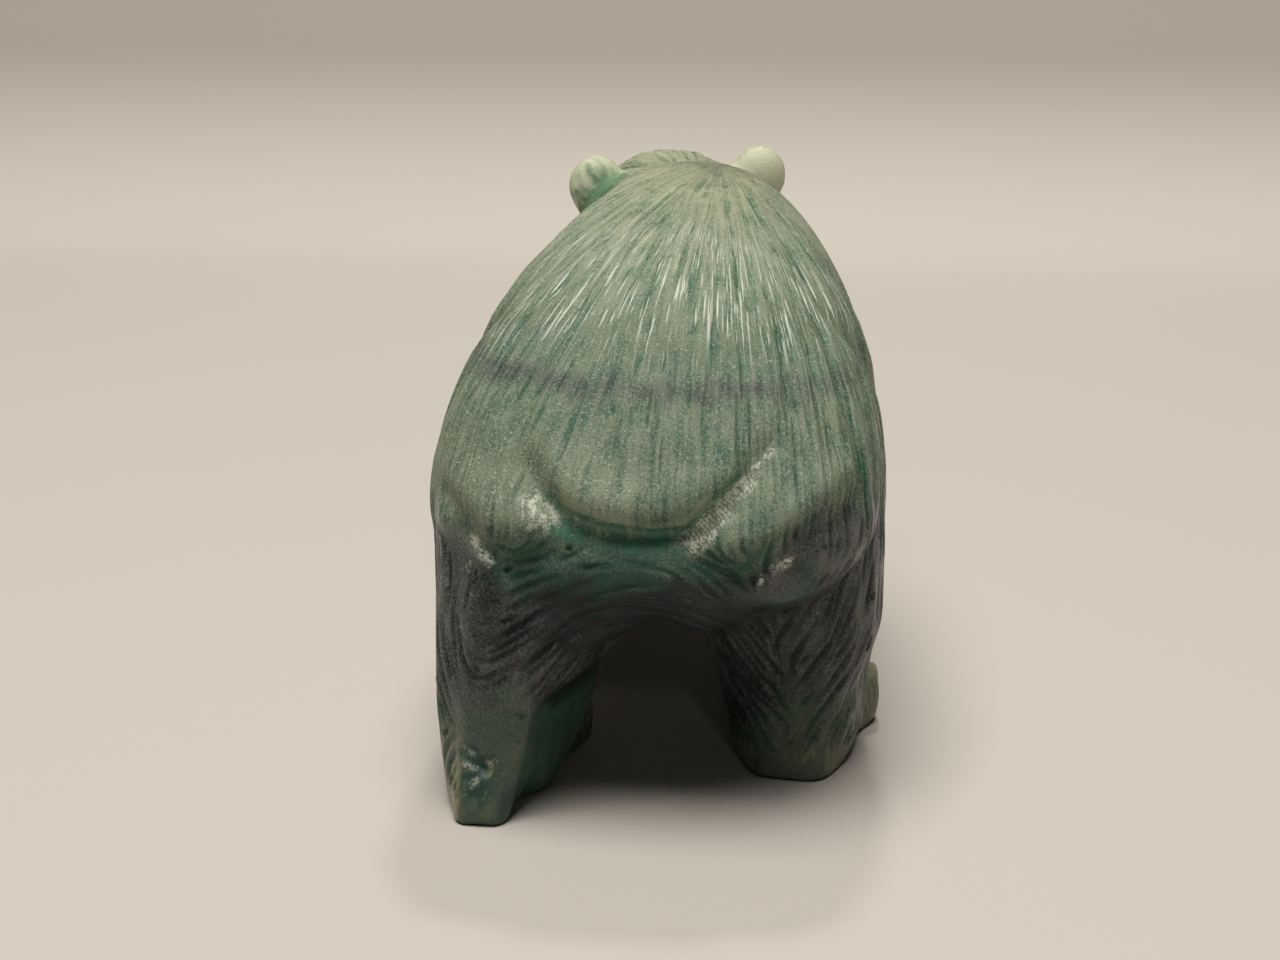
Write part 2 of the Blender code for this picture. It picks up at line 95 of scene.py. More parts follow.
# ---------------------------------------------------------------- the face and ears
# The face is cut with small round burrs: a polished ball of an eye in a lid groove under a heavy brow, two
# nostrils, a cleft lip, a mouth line and cupped ears. Each cut sinks or raises the skin along its normal.
HEAD_AT = (3.7, -23.5, 39.6)
HEAD_TURN_DEG = 26.0
HEAD_ROLL_DEG = 1.5
EYE_AT = (4.2, -9.0, 0.6)
EAR_AT = (8.8, 1.6, 4.8)
# Each cut: the line of its middle, on one side of the head, then its reach and its depth.
FACE_CUTS = [
    ([(1.2, -17.4, -1.0), (1.8, -17.0, -0.7)], 0.75, 0.55),
    ([(0.0, -17.7, -1.9), (0.0, -17.2, -4.1)], 0.5, 0.4),
    ([(0.0, -17.2, -4.2), (2.2, -15.9, -4.5), (3.6, -12.8, -4.9), (4.8, -9.2, -4.4)], 0.55, 0.45),
    ([(3.0, -10.6, 0.5), (2.6, -11.6, 0.0)], 0.5, 0.3),
    ([(5.4, -7.9, 0.8), (6.2, -6.8, 0.9)], 0.5, 0.3),
    ([(8.9, -0.7, 4.6), (8.9, -0.7, 5.4)], 1.5, 0.7),
]
# The ball of the eye: its reach and its depth, which is negative because it stands proud. The groove round
# it: how far out it is, its reach and its depth.
EYE_BALL = (1.0, -0.45)
EYE_LID = (1.1, 0.45, 0.4)


def points_of(mesh):
    points = np.empty(len(mesh.vertices) * 3)
    mesh.vertices.foreach_get("co", points)
    return points.reshape(-1, 3)


def normals_of(mesh):
    normals = np.empty(len(mesh.vertices) * 3)
    mesh.vertex_normals.foreach_get("vector", normals)
    return normals.reshape(-1, 3)


def set_points(mesh, points):
    mesh.vertices.foreach_set("co", points.ravel())
    mesh.update()


def bell(share):
    """One in the middle, falling to nothing where the share reaches one."""
    return (1.0 - np.clip(np.abs(share), 0.0, 1.0) ** 2) ** 2


def ramp(values, start, end):
    """Nothing before start, one after end, and smooth between them."""
    share = np.clip((values - start) / (end - start), 0.0, 1.0)
    return share * share * (3.0 - 2.0 * share)


def from_line(places, line):
    """Distance of each place from a line of places."""
    nearest = np.full(len(places), np.inf)
    for start, end in zip(np.array(line), np.array(line)[1:]):
        run = end - start
        share = np.clip((places - start) @ run / (run @ run), 0.0, 1.0)
        nearest = np.minimum(nearest, np.linalg.norm(places - start - share[:, None] * run, axis=1))
    return nearest


def head_places(points):
    """The points seen from the head, with both sides of the head folded onto one."""
    turn = Matrix.Rotation(math.radians(HEAD_TURN_DEG), 4, "Z")
    roll = Matrix.Rotation(math.radians(HEAD_ROLL_DEG), 4, "Y")
    back = np.array((Matrix.Translation(HEAD_AT) @ turn @ roll).inverted())
    places = points @ back[:3, :3].T + back[:3, 3]
    places[:, 0] = np.abs(places[:, 0])
    return places


def cut_face(mesh):
    points = points_of(mesh)
    places = head_places(points)
    sunk = np.zeros(len(points))
    for line, reach, depth in FACE_CUTS:
        sunk = np.maximum(sunk, depth * bell(from_line(places, line) / reach))
    from_eye = np.linalg.norm(places - EYE_AT, axis=1)
    sunk += EYE_BALL[1] * bell(from_eye / EYE_BALL[0])
    sunk += EYE_LID[2] * bell((from_eye - EYE_LID[0]) / EYE_LID[1])
    set_points(mesh, points - sunk[:, None] * normals_of(mesh))


cut_face(bear.data)

# ---------------------------------------------------------------- the tail, the buttocks and the left heel
# A small burr undercuts the tail and the lower edge of each buttock, and leaves the tail a thin proud edge.
# The arch between the legs is ground round. The left heel is chipped, and the chips are left as they broke.
BELOW_TAIL = [
    (7.3, 28.4, 0.0), (5.9, 26.2, 0.2), (2.7, 25.3, 0.3), (-1.0, 24.7, 0.3), (-4.0, 25.0, 0.25),
    (-5.8, 26.7, 0.12), (-7.9, 29.0, 0.0),
]
TAIL_EDGE = [
    (5.6, 27.6, 0.0), (4.6, 26.8, -0.06), (2.3, 26.2, -0.1), (-1.0, 25.7, -0.1), (-3.6, 26.0, -0.1),
    (-4.9, 27.4, 0.0),
]
BELOW_LEFT_BUTTOCK = [
    (16.0, 26.9, 0.0), (14.4, 25.4, 0.2), (12.3, 23.3, 0.25), (10.2, 22.0, 0.2), (5.8, 23.6, 0.0),
]
BELOW_RIGHT_BUTTOCK = [
    (-4.9, 23.0, 0.0), (-7.2, 21.5, 0.2), (-8.5, 21.8, 0.3), (-10.1, 23.8, 0.3), (-12.1, 25.6, 0.2),
    (-15.0, 26.6, 0.0),
]
# Each undercut: the line of its middle as (x, z, depth), then its reach. A negative depth stands proud.
UNDERCUTS = [
    (BELOW_TAIL, 0.9),
    (TAIL_EDGE, 0.6),
    (BELOW_LEFT_BUTTOCK, 1.0),
    (BELOW_RIGHT_BUTTOCK, 1.0),
]
# Each chip: its middle, its reach and its depth. A chip is a flat-bottomed dish.
CHIPS = [
    ((13.4, 37.4, 5.9), 1.0, 0.4),
    ((12.4, 37.6, 5.0), 1.0, 0.4),
    ((13.1, 37.5, 4.1), 0.9, 0.35),
    ((12.6, 37.6, 2.9), 0.8, 0.3),
    ((11.6, 37.6, 5.4), 0.7, 0.25),
]
CHIP_FLATNESS = 0.5
# The outer toe of the right hind foot stands proud and is ground flat: its middle and radii, then how far it
# is lifted, and where it is flat.
PROUD_TOE = ((-17.3, 12.0, 6.9), (4.0, 4.4, 3.7))
TOE_LIFT = 1.1
TOE_FLAT_AT = -18.6
# The shank behind that toe is hollowed: its middle and radii, then its depth.
SHANK = ((-17.8, 21.5, 7.6), (4.0, 7.0, 5.5))
SHANK_HOLLOW = 0.9
# Places of the rump that are rubbed round, as (x, z), reach, and how far each is first filled towards the
# arch: the two upper corners of the arch, and the two ends of the crease round the tail.
RUBBED = [
    ((3.1, 16.9), 3.8, 1.3),
    ((-5.6, 16.9), 3.8, 1.4),
    ((8.2, 30.2), 3.2, 0.0),
    ((-8.6, 31.2), 3.2, 0.0),
]
ARCH_MIDDLE = (-1.3, 12.0)
RUMP_RUBS = 60
LEAST_RUB = 0.05
# How far back the haunches begin, and the rump.
HAUNCH_FROM = (16.0, 22.0)
RUMP_FROM = (27.0, 30.0)


def facing_back(points, normals):
    """One on the skin of the rump that faces back."""
    return ramp(points[:, 1], *RUMP_FROM) * ramp(normals[:, 1], 0.1, 0.4)


def burred(places, line):
    """Distance of each place from a cut, and the depth of the cut at the nearest place of its middle."""
    nearest = np.full(len(places), np.inf)
    depth = np.zeros(len(places))
    for start, end in zip(np.array(line), np.array(line)[1:]):
        run = (end - start)[:2]
        share = np.clip((places - start[:2]) @ run / (run @ run), 0.0, 1.0)
        gap = np.linalg.norm(places - start[:2] - share[:, None] * run, axis=1)
        depth = np.where(gap < nearest, start[2] + share * (end - start)[2], depth)
        nearest = np.minimum(nearest, gap)
    return nearest, depth


def inside(points, middle, radii):
    """One in the middle of an ellipsoid, falling to nothing at its skin."""
    return bell(np.linalg.norm((points - middle) / radii, axis=1))


def at_the_toe(points):
    return inside(points, *PROUD_TOE)


def undercut_rump(mesh):
    points = points_of(mesh)
    normals = normals_of(mesh)
    sunk = np.zeros(len(points))
    for line, reach in UNDERCUTS:
        gap, depth = burred(points[:, [0, 2]], line)
        sunk += depth * bell(gap / reach)
    sunk *= facing_back(points, normals)
    for middle, reach, depth in CHIPS:
        chipped = bell(np.linalg.norm(points - middle, axis=1) / reach) ** CHIP_FLATNESS
        sunk = np.maximum(sunk, depth * chipped)
    toe = at_the_toe(points)
    shank = inside(points, *SHANK)
    points = points - sunk[:, None] * normals
    points[:, 0] += SHANK_HOLLOW * shank - TOE_LIFT * toe
    points[:, 0] = np.where(toe > 0.0, np.maximum(points[:, 0], TOE_FLAT_AT), points[:, 0])
    set_points(mesh, points)


def rub_rump(obj):
    """Fills the corners of the arch, then rubs the listed places until they are round."""
    points = points_of(obj.data)
    share = np.zeros(len(points))
    for place, reach, fill in RUBBED:
        gap = np.hypot(points[:, 0] - place[0], points[:, 2] - place[1])
        near = bell(gap / reach) * ramp(points[:, 1], *HAUNCH_FROM)
        inward = np.array(ARCH_MIDDLE) - place
        points[:, [0, 2]] += fill * near[:, None] * inward / np.linalg.norm(inward)
        share = np.maximum(share, near)
    set_points(obj.data, points)
    rubbed = obj.vertex_groups.new(name="rubbed")
    for vert in np.flatnonzero(share > LEAST_RUB):
        rubbed.add([int(vert)], float(share[vert]), "REPLACE")
    rub = obj.modifiers.new("rub_rump", "SMOOTH")
    rub.vertex_group = "rubbed"
    rub.factor = RUB_SHARE
    rub.iterations = RUMP_RUBS
    return worked(obj, obj.name)


bear = rub_rump(bear)
undercut_rump(bear.data)

# ---------------------------------------------------------------- the lie of the fur
# The fur is engraved stroke by stroke. It runs out and down from a whorl on the withers, and leans out on
# the left of the rump. Low on the rump it follows comb lines: round the arch, in a swirl on the left leg, and
# in a fan on the right one.
WHORL = (-2.4, -8.1)
# The lean: how much of it there is, where it starts and ends leftward, where it starts backward, and the
# heights between which it grows on the way down.
LEAN = 0.25
LEAN_LEFTWARD = (-2.0, 5.0)
LEAN_ENDS = (8.0, 15.0)
LEAN_BACKWARD = (12.0, 26.0)
LEAN_HEIGHTS = (24.0, 42.0)
# Each comb line is a run of places (x, z). The fur follows the nearest lines where the skin faces back,
# behind and below the two ranges that come after them.
COMB_LINES = [
    [(15.3, 17.9), (13.9, 12.6), (12.4, 11.3), (9.2, 13.2), (4.1, 17.0), (-1.6, 19.9)],
    [(13.7, 18.5), (13.3, 16.5), (11.9, 14.8), (8.1, 17.3), (3.2, 20.2)],
    [(8.6, 22.5), (3.8, 23.8), (0.5, 23.5), (-2.8, 23.0)],
    [(9.1, 11.8), (5.7, 15.1), (3.1, 17.0)],
    [(-0.3, 19.0), (-3.9, 18.0), (-7.4, 9.7), (-10.9, 5.8)],
    [(-2.9, 21.3), (-7.5, 15.9), (-10.4, 10.6)],
    [(-5.4, 11.0), (-7.9, 4.8), (-10.4, 1.6)],
    [(-15.5, 24.9), (-14.4, 19.7), (-10.9, 12.9)],
    [(-16.9, 20.1), (-15.0, 14.8), (-11.4, 8.0)],
    [(-17.1, 13.7), (-13.9, 8.0), (-10.2, 2.0)],
    [(-16.3, 9.0), (-13.3, 3.5)],
]
COMBED_BEHIND = (20.0, 23.0)
COMBED_BELOW = (22.0, 25.5)
COMB_SOFTNESS = 0.4
TINY = 1e-9


def combed(points, normals):
    """Direction of the fur at each point, along the skin, and the share of it that the comb lines set."""
    away = points[:, :2] - np.array(WHORL)
    x, y, z = points.T
    leaning = LEAN * ramp(x, *LEAN_LEFTWARD) * (1.0 - ramp(x, *LEAN_ENDS)) * ramp(y, *LEAN_BACKWARD)
    spread = 1.0 - leaning * (1.0 - ramp(z, *LEAN_HEIGHTS))
    low, high = LEAN_HEIGHTS
    share = np.clip((z - low) / (high - low), 0.0, 1.0)
    steepness = leaning * 6.0 * share * (1.0 - share) / (high - low)
    around = np.column_stack([
        -spread * away[:, 1],
        spread * away[:, 0],
        -steepness * away[:, 0] * away[:, 1],
    ])
    fan = np.cross(normals, around)
    fan /= np.linalg.norm(fan, axis=1, keepdims=True) + TINY

    # A line has no front end, so directions are added as doubled angles.
    places = points[:, [0, 2]]
    double = np.zeros((len(points), 2))
    for line in COMB_LINES:
        for start, end in zip(np.array(line), np.array(line)[1:]):
            run = end - start
            share = np.clip((places - start) @ run / (run @ run), 0.0, 1.0)
            gap = np.linalg.norm(places - start - share[:, None] * run, axis=1)
            angle = 2.0 * math.atan2(run[1], run[0])
            pull = 1.0 / (gap**2 + COMB_SOFTNESS) ** 1.5
            double += pull[:, None] * (math.cos(angle), math.sin(angle))
    angle = 0.5 * np.arctan2(double[:, 1], double[:, 0])
    behind = np.column_stack([np.cos(angle), np.zeros(len(points)), np.sin(angle)])
    behind -= (behind * normals).sum(1)[:, None] * normals
    behind /= np.linalg.norm(behind, axis=1, keepdims=True) + TINY

    share = ramp(normals[:, 1], 0.05, 0.45) * ramp(points[:, 1], *COMBED_BEHIND)
    share *= 1.0 - ramp(points[:, 2], *COMBED_BELOW)
    behind *= np.sign((behind * fan).sum(1) + TINY)[:, None]
    lie = fan * (1.0 - share)[:, None] + behind * share[:, None]
    lie /= np.linalg.norm(lie, axis=1, keepdims=True) + TINY
    return lie, share


def wander(points, scale):
    """A slow even drift over the stone, from about minus one to one."""
    return np.array([2.0 * noise.fractal(Vector(p) * scale, 0.6, 2.0, 3) for p in points])


# Places on the rump where the engraving is gone, as lines of (x, z) with the reach to each side. The groove
# under the tail and the chip in the heel are clear; the hollows over the hocks and the heel are worn.
TAIL_GROOVE = [(6.6, 26.6), (5.5, 25.2), (2.7, 24.5), (-1.0, 24.0), (-4.0, 24.4), (-6.0, 26.4), (-7.4, 28.2)]
CLEAR_LINES = [
    (TAIL_GROOVE, 1.25),
    ([(13.2, 6.0), (12.6, 4.6), (12.7, 3.0)], 1.2),
]
WORN_LINES = [
    ([(-9.3, 18.6), (-11.0, 20.4), (-12.9, 22.6)], 2.1),
    ([(15.4, 24.6), (13.2, 23.0), (11.6, 21.4), (11.5, 19.0), (12.2, 16.5)], 1.8),
    ([(12.2, 9.6), (12.0, 6.0), (11.9, 2.0)], 3.0),
]
# Their edges wander by this share of the reach, in lobes this fine.
RAGGED_SHARE = 0.22
RAGGED_SCALE = 0.45


def touched(points, normals, lines):
    """One along the middle of the lines, fading to nothing at their ragged edges."""
    touch = np.zeros(len(points))
    behind = facing_back(points, normals)
    ragged = RAGGED_SHARE * wander(points, RAGGED_SCALE)
    for line, reach in lines:
        gap = from_line(points[:, [0, 2]], line) + reach * ragged
        touch = np.maximum(touch, behind * (1.0 - ramp(gap, 0.5 * reach, reach)))
    return touch


def clear(points, normals):
    """One on the clear places, and on the ground inner face of the left hind foot."""
    x, y, z = points.T
    inner_face = ramp(-normals[:, 0], 0.3, 0.6) * ramp(x, 2.5, 3.5) * ramp(y, 24.0, 28.0)
    inner_face *= 1.0 - ramp(z, 9.5, 12.5)
    return np.maximum(touched(points, normals, CLEAR_LINES), inner_face)


def fur_cover(points, normals):
    """How hard the fur is cut: fully on back and legs, less on the face, not on rubbed places or soles."""
    places = head_places(points)
    from_eye = np.linalg.norm(places - EYE_AT, axis=1)
    off_ears = ramp(np.linalg.norm(places - EAR_AT, axis=1), 2.6, 3.4)
    face = 0.35 + 0.65 * ramp(places[:, 1], -10.0, -5.0)
    face *= ramp(places[:, 1], -14.5, -13.0) * ramp(from_eye, 1.7, 2.3)
    cover = face * off_ears * ramp(points[:, 2], 1.0, 3.0) * ramp(normals[:, 2], -0.85, -0.5)
    gone = np.maximum(clear(points, normals), touched(points, normals, WORN_LINES))
    gone = np.maximum(gone, ramp(at_the_toe(points), 0.0, 0.3))
    return cover * (1.0 - gone)


# ---------------------------------------------------------------- the strokes
# Each stroke is one pass of a fine burr, mostly about six millimetres long and at most about thirty. A new
# stroke starts where there is room, runs along the fur both ways, and stops short of its neighbours, so
# strokes lie side by side without a crossing.
BURR_SEED = 7
STROKE_STEP = 0.35
STROKE_LENGTHS = (5.0, 15.0)
# A start keeps this gap from the strokes that are there, and a running stroke keeps a share of it. Near
# strokes are looked for in cells of this size.
STROKE_GAP = 0.6
CLOSEST = 0.72
CELL = 0.9
# A stroke starts and ends where the fur is cut this hard. Not every point of the skin is tried as a start,
# and a stroke of too few points is left out.
STARTS_AT = 0.22
ENDS_AT = 0.2
TRY_EVERY = 3
FEWEST_POINTS = 4


class Strokes:
    """The strokes made so far, with their points sorted into cells so that near ones are found quickly."""

    def __init__(self):
        self.cells = {}
        self.runs = []

    def key(self, p):
        return (int(p[0] // CELL), int(p[1] // CELL), int(p[2] // CELL))

    def crowded(self, p, gap):
        i, j, k = self.key(p)
        limit = gap * gap
        for di in (-1, 0, 1):
            for dj in (-1, 0, 1):
                for dk in (-1, 0, 1):
                    for q in self.cells.get((i + di, j + dj, k + dk), ()):
                        if (q[0] - p[0]) ** 2 + (q[1] - p[1]) ** 2 + (q[2] - p[2]) ** 2 < limit:
                            return True
        return False

    def add(self, run):
        for place, _ in run:
            self.cells.setdefault(self.key(place), []).append(place)
        self.runs.append(run)


def skin_tree(mesh, points):
    """The skin of a mesh, sorted so that the nearest face or the first one along a ray is found quickly."""
    return BVHTree.FromPolygons([tuple(p) for p in points], [tuple(f.vertices) for f in mesh.polygons])


class Fur:
    """The skin with the lie of the fur on it, how hard it is cut and how far apart the strokes are."""

    def __init__(self, mesh):
        points = points_of(mesh)
        normals = normals_of(mesh)
        x, y, z = points.T
        self.points = points
        self.skin = skin_tree(mesh, points)
        self.face_vert = [f.vertices[0] for f in mesh.polygons]
        self.lie, behind = combed(points, normals)
        self.cover = fur_cover(points, normals)

        # Where the fur is coarser or finer: the front, the top of the back, the swirls on the hind legs, the
        # smooth buttocks, and the tufts over the arch.
        in_front = 1.0 - ramp(y, -12.0, 2.0)
        on_top = ramp(normals[:, 2], 0.3, 0.7) * ramp(z, 34.0, 40.0) * (1.0 - in_front)
        swirl = behind * ramp(np.abs(x - 1.0), 7.0, 10.0)
        smooth = ramp(normals[:, 1], 0.5, 0.8) * bell((z - 28.5) / 5.5) * ramp(y, 30.0, 34.0)
        tufts = behind * bell(x / 11.0) * bell((z - 20.5) / 4.0)
        self.gaps = STROKE_GAP * (1.0 + 0.15 * swirl + 0.3 * in_front + 0.45 * on_top + 0.6 * tufts)
        self.wide = 1.0 + 0.1 * swirl + 0.15 * in_front + 0.2 * on_top - 0.2 * tufts
        self.press = self.cover * (0.85 + 0.25 * behind) * (1.0 - 0.6 * smooth) * (1.0 - 0.35 * tufts)
        self.length = 1.0 + 1.2 * on_top + 0.4 * behind


def trace(fur, strokes, start, heading, length):
    """Follows the fur from start until the length is used up, the fur ends, or another stroke is near."""
    run = []
    place = start
    done = 0.0
    while done < length:
        place, _, face, _ = fur.skin.find_nearest(place + heading * STROKE_STEP)
        vert = fur.face_vert[face]
        if fur.cover[vert] < ENDS_AT or strokes.crowded(place, fur.gaps[vert] * CLOSEST):
            break
        along = Vector(fur.lie[vert])
        heading = along if along.dot(heading) > 0 else -along
        run.append((place, vert))
        done += STROKE_STEP
    return run


def engrave(fur, draw):
    """Strokes all over the fur, each started where there is room."""
    strokes = Strokes()
    order = list(range(0, len(fur.points), TRY_EVERY))
    draw.shuffle(order)
    for vert in order:
        start = Vector(fur.points[vert])
        if fur.cover[vert] < STARTS_AT or strokes.crowded(start, fur.gaps[vert]):
            continue
        heading = Vector(fur.lie[vert])
        length = draw.uniform(*STROKE_LENGTHS) * fur.length[vert]
        run = trace(fur, strokes, start, -heading, length / 2)[::-1] + [(start, vert)]
        run += trace(fur, strokes, start, heading, length / 2)
        if len(run) >= FEWEST_POINTS:
            strokes.add(run)
    return strokes.runs


def stroke_lines(fur, runs, draw):
    """Strokes as one mesh of edges, with the press, width and tone of the burr at each point."""
    verts = []
    edges = []
    kept = {"press": [], "wide": [], "tone": []}
    for run in runs:
        first = len(verts)
        hand = draw.uniform(0.5, 1.0)
        tone = draw.random()
        for i, (place, vert) in enumerate(run):
            share = i / (len(run) - 1)
            # The burr bites quickly and lifts slowly.
            ends = min(1.0, 2.6 * share + 0.1, 1.7 * (1.0 - share) + 0.05)
            verts.append(place)
            kept["press"].append(hand * ends * fur.press[vert])
            kept["wide"].append(fur.wide[vert] * (0.8 + 0.4 * hand))
            kept["tone"].append(tone)
        edges += [(first + i, first + i + 1) for i in range(len(run) - 1)]
    mesh = bpy.data.meshes.new("stroke_lines")
    mesh.from_pydata(verts, edges, [])
    for name, values in kept.items():
        mesh.attributes.new(name, "FLOAT", "POINT").data.foreach_set("value", values)
    lines = bpy.data.objects.new("stroke_lines", mesh)
    bpy.context.scene.collection.objects.link(lines)
    return lines


draw = random.Random(BURR_SEED)
fur = Fur(bear.data)
lines = stroke_lines(fur, engrave(fur, draw), draw)

# The burr: how far it cuts to each side, how deep it cuts when pressed fully, and how far and how finely the
# hand trembles. A groove has steep sides and a rounded floor.
CUT_HALF_WIDTH = 0.3
CUT_DEPTH = 0.36
TREMBLE = 0.12
TREMBLE_SCALE = 1.1
GROOVE_STEEPNESS = 1.35
GROOVE_ROUNDING = 0.2


def engraving_tree():
    """Sinks a groove into the skin along each line, as deep as the burr pressed there."""
    tree = bpy.data.node_groups.new("engrave_fur", "GeometryNodeTree")
    panel = tree.interface
    panel.new_socket("Geometry", in_out="INPUT", socket_type="NodeSocketGeometry")
    panel.new_socket("Strokes", in_out="INPUT", socket_type="NodeSocketObject")
    panel.new_socket("Cut Half Width", in_out="INPUT", socket_type="NodeSocketFloat")
    panel.new_socket("Cut Depth", in_out="INPUT", socket_type="NodeSocketFloat")
    panel.new_socket("Tremble", in_out="INPUT", socket_type="NodeSocketFloat")
    panel.new_socket("Stone", in_out="INPUT", socket_type="NodeSocketMaterial")
    panel.new_socket("Geometry", in_out="OUTPUT", socket_type="NodeSocketGeometry")

    def add(kind, **settings):
        node = tree.nodes.new(kind)
        for name, value in settings.items():
            setattr(node, name, value)
        return node

    def link(output, node, socket):
        tree.links.new(output, node.inputs[socket])

    def sum_of(operation, *terms):
        node = add("ShaderNodeMath", operation=operation)
        for i, term in enumerate(terms):
            if isinstance(term, (int, float)):
                node.inputs[i].default_value = term
            else:
                link(term, node, i)
        return node.outputs[0]

    given = add("NodeGroupInput").outputs
    lines = add("GeometryNodeObjectInfo", transform_space="ORIGINAL")
    link(given["Strokes"], lines, "Object")
    near = add("GeometryNodeProximity", target_element="EDGES")
    link(lines.outputs["Geometry"], near, 0)
    nearest = add("GeometryNodeSampleNearest", domain="POINT")
    link(lines.outputs["Geometry"], nearest, "Geometry")

    def at_the_stroke(name):
        kept = add("GeometryNodeInputNamedAttribute", data_type="FLOAT")
        kept.inputs["Name"].default_value = name
        taken = add("GeometryNodeSampleIndex", data_type="FLOAT", domain="POINT")
        link(lines.outputs["Geometry"], taken, "Geometry")
        link(kept.outputs["Attribute"], taken, "Value")
        link(nearest.outputs["Index"], taken, "Index")
        return taken.outputs[0]

    waver = add("ShaderNodeTexNoise", noise_dimensions="3D")
    waver.inputs["Scale"].default_value = TREMBLE_SCALE
    waver.inputs["Detail"].default_value = 1.0
    moved = sum_of("MULTIPLY", sum_of("SUBTRACT", waver.outputs[0], 0.5), given["Tremble"])
    width = sum_of("MULTIPLY", given["Cut Half Width"], at_the_stroke("wide"))
    reach = sum_of("DIVIDE", sum_of("ADD", near.outputs["Distance"], moved), width)
    open_share = sum_of("SUBTRACT", 1.0, reach)
    open_share.node.use_clamp = True
    profile = sum_of("MULTIPLY", open_share, GROOVE_STEEPNESS)
    profile = sum_of("SMOOTH_MIN", profile, 1.0, GROOVE_ROUNDING)
    cut = sum_of("MULTIPLY", profile, at_the_stroke("press"))
    sunk = sum_of("MULTIPLY", cut, sum_of("MULTIPLY", given["Cut Depth"], -1.0))
    normal = add("GeometryNodeInputNormal")
    offset = add("ShaderNodeVectorMath", operation="SCALE")
    link(normal.outputs[0], offset, 0)
    link(sunk, offset, "Scale")

    def keep(geometry, name, value):
        node = add("GeometryNodeStoreNamedAttribute", data_type="FLOAT", domain="POINT")
        node.inputs["Name"].default_value = name
        link(geometry, node, "Geometry")
        link(value, node, "Value")
        return node.outputs["Geometry"]

    kept = keep(given["Geometry"], "cut", cut)
    kept = keep(kept, "tone", at_the_stroke("tone"))
    sink = add("GeometryNodeSetPosition")
    link(kept, sink, "Geometry")
    link(offset.outputs[0], sink, "Offset")
    real = add("GeometryNodeRealizeInstances")
    link(sink.outputs["Geometry"], real, "Geometry")
    stone = add("GeometryNodeSetMaterial")
    link(real.outputs["Geometry"], stone, "Geometry")
    link(given["Stone"], stone, "Material")
    out = add("NodeGroupOutput")
    link(stone.outputs["Geometry"], out, "Geometry")
    return tree


def set_input(modifier, name, value):
    """Sets a modifier's input by its identifier in the tree."""
    for socket in modifier.node_group.interface.items_tree:
        if socket.in_out == "INPUT" and socket.name == name:
            modifier[socket.identifier] = value


# The cut skin is thinned out where it is flattest, down to this many triangles.
MOST_TRIANGLES = 192_000

stone = bpy.data.materials.new("fluorite")
cutter = bear.modifiers.new("engrave_fur", "NODES")
cutter.node_group = engraving_tree()
set_input(cutter, "Strokes", lines)
set_input(cutter, "Cut Half Width", CUT_HALF_WIDTH)
set_input(cutter, "Cut Depth", CUT_DEPTH)
set_input(cutter, "Tremble", TREMBLE)
set_input(cutter, "Stone", stone)
bear = worked(bear, "bear_carving")
bpy.data.objects.remove(lines, do_unlink=True)
thin_out = bear.modifiers.new("fewer_faces", "DECIMATE")
thin_out.ratio = MOST_TRIANGLES / sum(len(f.vertices) - 2 for f in bear.data.polygons)
bear = worked(bear, "bear_carving")

# ---------------------------------------------------------------- the stone
# Banded fluorite: pale green above, a thin purple seam across the rump, a broad dark purple layer through
# the legs, and clear green feet. The engraved skin is frosted on its ridges; rubbed places are clear and wet.
# Some light, shade, highlights and glints are painted into these colours as well.


def keep_value(name, values):
    """Keeps a value for each point of the bear, under a name that the material reads."""
    bear.data.attributes.new(name, "FLOAT", "POINT").data.foreach_set("value", values.astype(np.float32))


# The purple: heights of the broad layer between the legs, and the height and half width of the thin seam.
LAYER_BOTTOM = 8.6
LAYER_TOP = 20.8
SEAM_HEIGHT = 34.75
SEAM_REACH = 1.3
# Green stone breaks through it beside the right facet, along this line of (x, z), this far to each side.
GREEN_TONGUE = ([(-13.0, 21.6), (-12.4, 20.0), (-11.3, 18.6)], 1.3)


def shaded_right_shank(points):
    """One on the half of the right hind leg that faces the arch, where shade is painted."""
    x, y, _ = points.T
    return ramp(x, -12.0, -7.0) * (1.0 - ramp(x, -1.0, 0.0)) * ramp(y, 8.0, 12.0)


def purple_layer(points):
    """Share of purple: a broad layer whose top dips between the buttocks, reaching lower on the right shank
    as painted shade, and a thin seam above it.
    """
    x, _, z = points.T
    level = z + 1.1 * wander(points, 0.16)
    top = LAYER_TOP + (4.0 - 0.8 * np.sign(x)) * ramp(np.abs(x), 8.0, 14.0)
    # On the right shank that faces the arch the dark purple reaches lower, as painted shade.
    bottom = LAYER_BOTTOM + 1.8 * ramp(x, 0.0, 8.0) - 5.0 * shaded_right_shank(points)
    layer = (1.0 - ramp(level - top, -2.0, 1.5)) * ramp(level - bottom, -2.5, 2.0)
    layer *= 1.0 - 0.6 * touched(points, normals_of(bear.data), [GREEN_TONGUE])
    seam_level = z - SEAM_HEIGHT - 0.03 * x + 0.35 * wander(points, 0.3)
    seam = bell(seam_level / SEAM_REACH) * (0.64 + 0.16 * wander(points + 40.0, 0.22))
    seam *= 1.0 - 0.5 * ramp(-x, 9.0, 15.0)
    return np.clip(np.maximum(layer, seam), 0.0, 1.0)


# A ray through the stone starts just under the skin. Stone that it doesn't come out of is this thick.
JUST_UNDER = 0.05
THICKEST = 40.0


def thickness(points, normals):
    """How far it is through the stone, straight in from each point."""
    skin = skin_tree(bear.data, points)
    through = np.empty(len(points))
    for i, (point, normal) in enumerate(zip(points, normals)):
        inward = Vector(-normal)
        place, _, _, depth = skin.ray_cast(Vector(point) + inward * JUST_UNDER, inward)
        through[i] = THICKEST if place is None else depth
    return through


